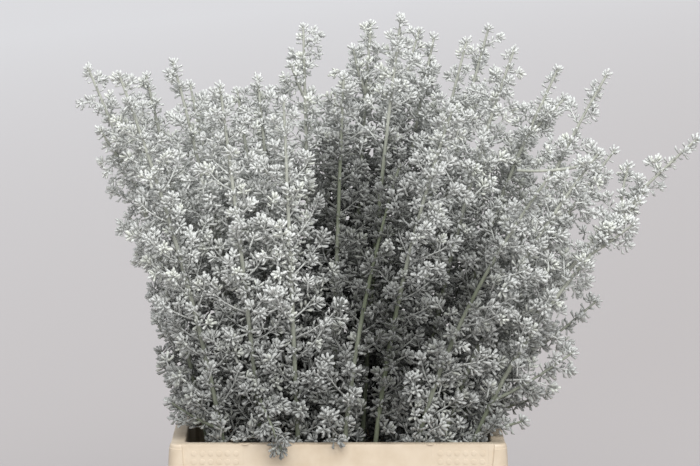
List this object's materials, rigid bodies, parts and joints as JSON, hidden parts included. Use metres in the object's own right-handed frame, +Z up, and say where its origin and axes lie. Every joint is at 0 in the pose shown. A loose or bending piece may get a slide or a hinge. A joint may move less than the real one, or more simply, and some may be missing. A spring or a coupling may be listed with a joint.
{
  "type": "potted bluebush",
  "caption": "Cut leafy stems of silver-grey pearl bluebush standing in loose bunches in a rectangular open plastic container with water.",
  "frame": {"origin": "middle of the container's underside, on the surface it stands on", "axes": "+Z up; +X to the right as seen from the front, along the container's long side; +Y from the front to the back"},
  "size_m": [0.7405, 0.3629, 0.739],
  "materials": {
    "plastic": "satin",
    "water": "clear",
    "foliage": "matte"
  },
  "bodies": {
    "root": {"container": "plastic", "water": "water", "leafy_stem_left_01": "foliage", "leafy_stem_left_02": "foliage", "leafy_stem_left_03": "foliage", "leafy_stem_left_04": "foliage", "leafy_stem_left_05": "foliage", "leafy_stem_left_06": "foliage", "leafy_stem_left_07": "foliage", "leafy_stem_left_08": "foliage", "leafy_stem_left_09": "foliage", "leafy_stem_left_10": "foliage", "leafy_stem_left_11": "foliage", "leafy_stem_left_12": "foliage", "leafy_stem_middle_01": "foliage", "leafy_stem_middle_02": "foliage", "leafy_stem_middle_03": "foliage", "leafy_stem_middle_04": "foliage", "leafy_stem_middle_05": "foliage", "leafy_stem_middle_06": "foliage", "leafy_stem_middle_07": "foliage", "leafy_stem_middle_08": "foliage", "leafy_stem_middle_09": "foliage", "leafy_stem_middle_10": "foliage", "leafy_stem_right_01": "foliage", "leafy_stem_right_02": "foliage", "leafy_stem_right_03": "foliage", "leafy_stem_right_04": "foliage", "leafy_stem_right_05": "foliage", "leafy_stem_right_06": "foliage", "leafy_stem_right_07": "foliage", "leafy_stem_right_08": "foliage", "leafy_stem_right_09": "foliage", "leafy_stem_right_10": "foliage"}
  },
  "joints": []
}
